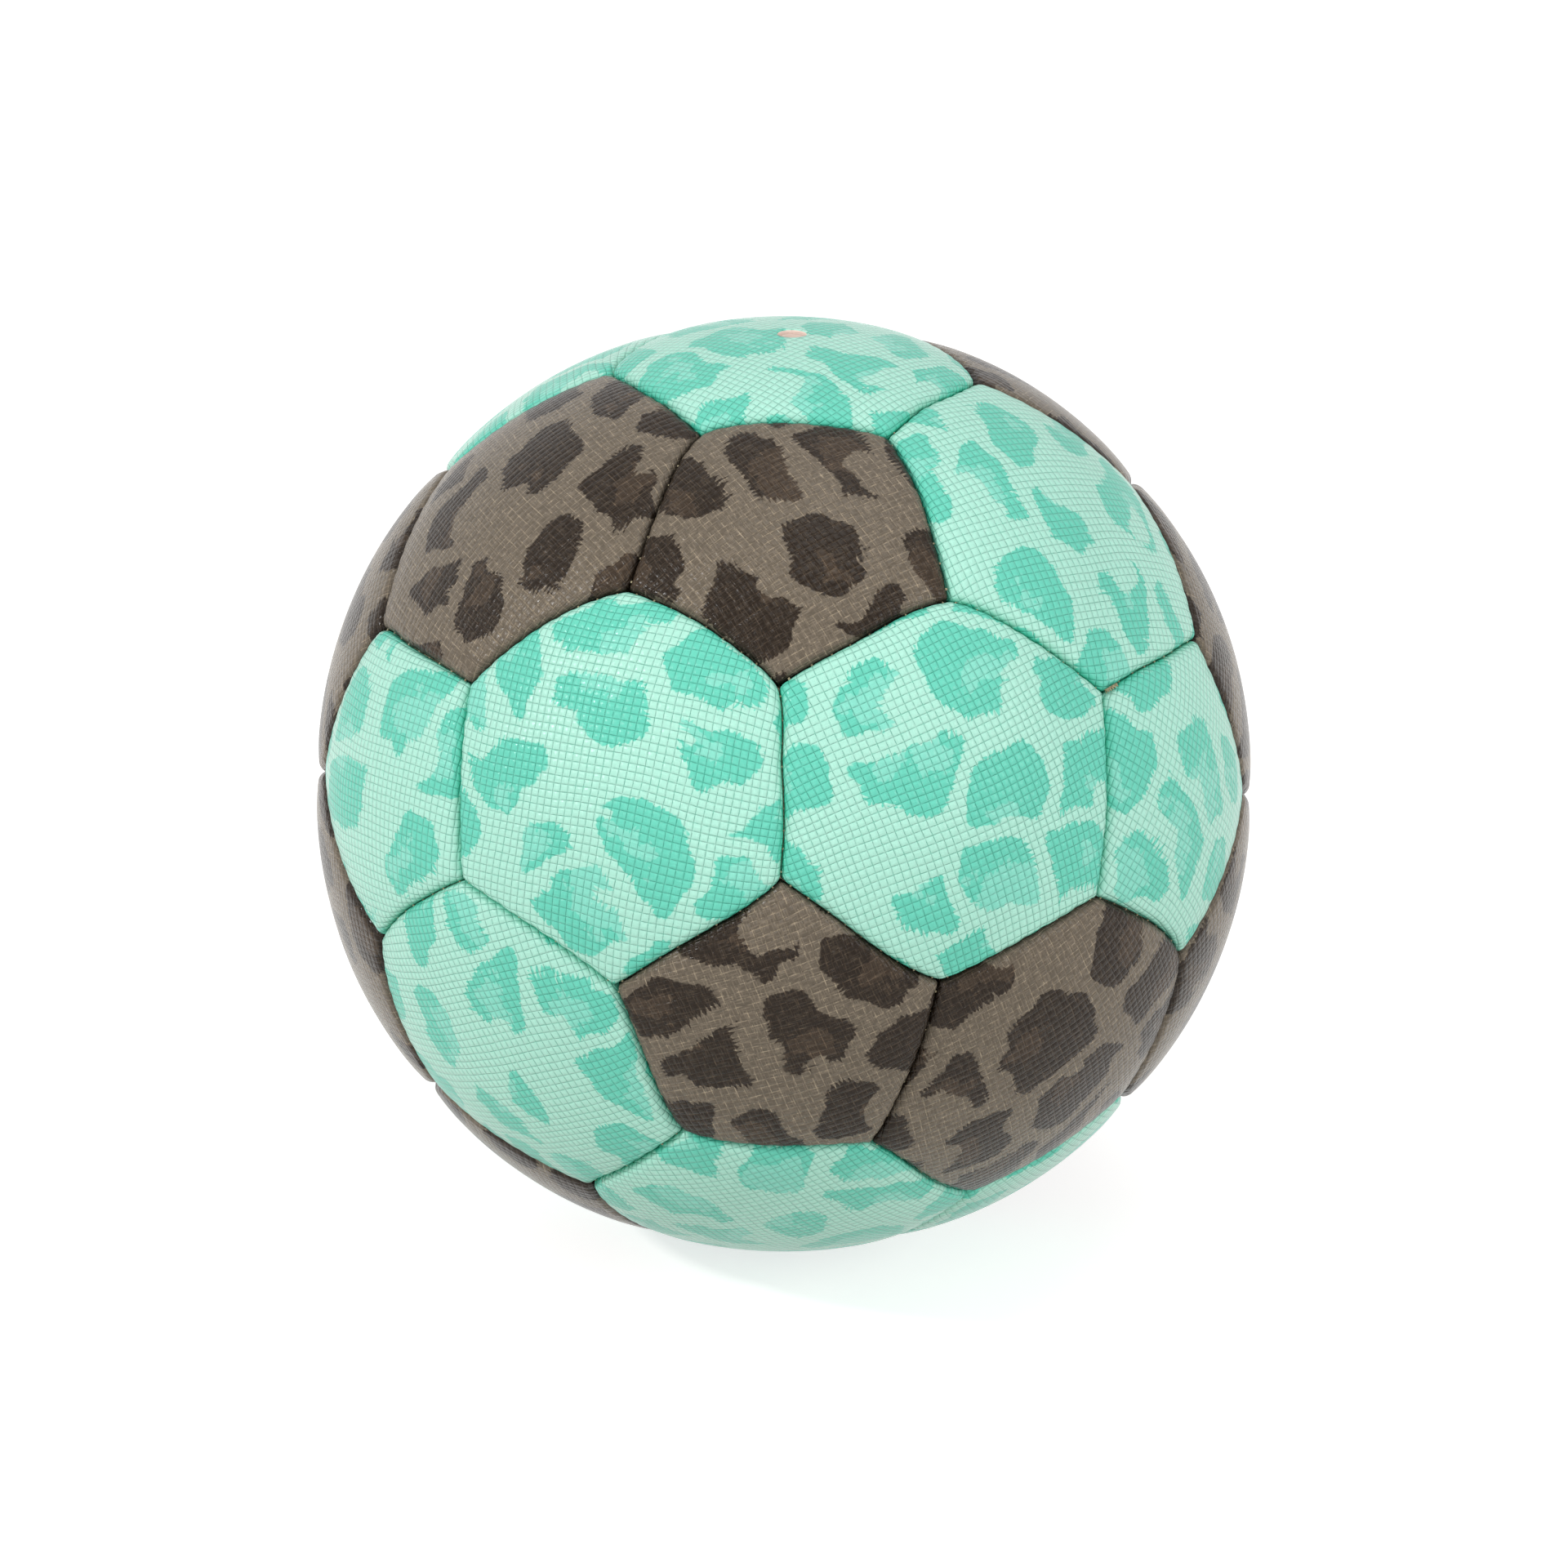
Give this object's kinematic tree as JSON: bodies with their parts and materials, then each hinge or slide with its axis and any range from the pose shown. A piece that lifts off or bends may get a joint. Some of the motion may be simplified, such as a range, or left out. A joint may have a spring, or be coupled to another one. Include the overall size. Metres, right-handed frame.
{
  "type": "handball",
  "caption": "Inflated ball with a hand-stitched cover of hexagon and pentagon panels in two printed colours, over a bladder with a needle valve.",
  "frame": {"origin": "middle of the ball", "axes": "+Z out through the valve, +X to the right and -Y towards the viewer when the valve panel is turned up"},
  "size_m": [0.1738, 0.1746, 0.175],
  "materials": {
    "mint_cover": "satin",
    "gray_cover": "satin",
    "foam": "matte",
    "lining_cloth": "matte",
    "waxed_thread": "satin",
    "latex": "satin",
    "latex_patch": "satin",
    "valve_rubber": "satin",
    "core_rubber": "matte"
  },
  "bodies": {
    "root": {"valve_panel": "mint_cover", "hexagon_panel_01": "mint_cover", "hexagon_panel_02": "gray_cover", "hexagon_panel_03": "gray_cover", "hexagon_panel_04": "mint_cover", "hexagon_panel_05": "mint_cover", "hexagon_panel_06": "gray_cover", "hexagon_panel_07": "gray_cover", "hexagon_panel_08": "mint_cover", "hexagon_panel_09": "gray_cover", "hexagon_panel_10": "mint_cover", "hexagon_panel_11": "mint_cover", "hexagon_panel_12": "gray_cover", "hexagon_panel_13": "mint_cover", "hexagon_panel_14": "mint_cover", "hexagon_panel_15": "gray_cover", "hexagon_panel_16": "mint_cover", "hexagon_panel_17": "mint_cover", "hexagon_panel_18": "gray_cover", "hexagon_panel_19": "mint_cover", "pentagon_panel_01": "gray_cover", "pentagon_panel_02": "mint_cover", "pentagon_panel_03": "gray_cover", "pentagon_panel_04": "mint_cover", "pentagon_panel_05": "mint_cover", "pentagon_panel_06": "gray_cover", "pentagon_panel_07": "mint_cover", "pentagon_panel_08": "mint_cover", "pentagon_panel_09": "gray_cover", "pentagon_panel_10": "gray_cover", "pentagon_panel_11": "mint_cover", "pentagon_panel_12": "gray_cover", "hexagon_foam_backings": "foam", "pentagon_foam_backings": "foam", "hexagon_linings": "lining_cloth", "pentagon_linings": "lining_cloth", "hexagon_seam_threads": "waxed_thread", "pentagon_seam_threads": "waxed_thread", "bladder": "latex", "valve_patch": "latex_patch", "valve_housing": "valve_rubber", "valve_core": "core_rubber"}
  },
  "joints": []
}
